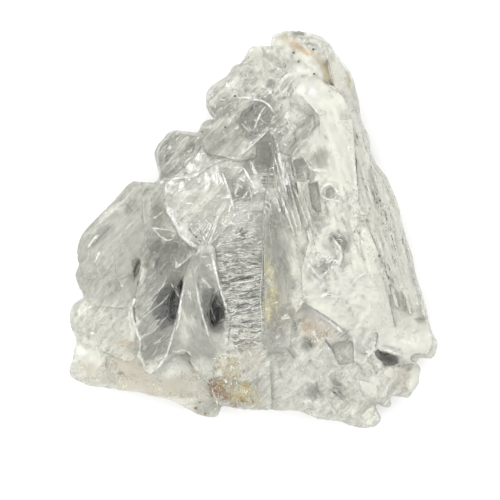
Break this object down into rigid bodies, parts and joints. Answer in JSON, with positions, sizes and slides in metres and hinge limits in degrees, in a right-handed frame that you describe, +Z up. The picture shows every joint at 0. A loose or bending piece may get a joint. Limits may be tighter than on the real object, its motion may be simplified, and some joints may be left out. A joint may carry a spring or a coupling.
{
  "type": "selenite crystal",
  "caption": "Broken blade of clear selenite, a natural gypsum crystal with feathery cleavage inside, lying on its flat face as a display specimen.",
  "frame": {"origin": "centre of the bounding box at the level of the flat face it lies on", "axes": "+Z up out of that face, the shortest side; +Y along the longest side, towards the narrow tip with the knob; +X towards the long sloping flank"},
  "size_m": [0.0892, 0.096, 0.024],
  "materials": {
    "crystal": "clear to frosted gypsum with a pearly sheen, white feathers and a few ochre stains"
  },
  "bodies": {
    "root": {"crystal": "crystal"}
  },
  "joints": []
}
